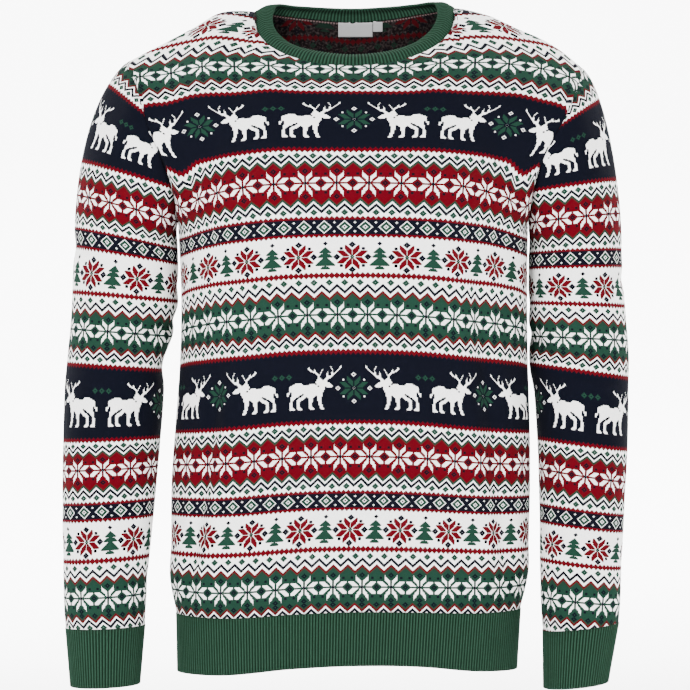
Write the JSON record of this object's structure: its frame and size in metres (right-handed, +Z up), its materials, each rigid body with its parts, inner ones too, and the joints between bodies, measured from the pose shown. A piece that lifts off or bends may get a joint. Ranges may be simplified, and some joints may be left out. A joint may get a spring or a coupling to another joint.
{
  "type": "fair isle christmas sweater",
  "caption": "Crew-neck Fair Isle jumper with ribbed collar, cuffs and hem, worn and hollow with no wearer.",
  "frame": {"origin": "middle of the neck opening, level with the shoulder ridges, where a wearer's shoulders carry the jumper", "axes": "+Z up towards the neck, -Y towards the front, +X towards the viewer's right"},
  "size_m": [0.607, 0.229, 0.7346],
  "materials": {
    "knit": "stranded knit, matt, soft nap",
    "rib": "rib knit, matt",
    "label": "smooth woven tape"
  },
  "bodies": {
    "root": {"front": "knit", "back": "knit", "sleeve_left": "knit", "sleeve_right": "knit", "collar": "rib", "hem_rib": "rib", "cuff_left": "rib", "cuff_right": "rib", "neck_label": "label", "size_tab": "label"}
  },
  "joints": []
}
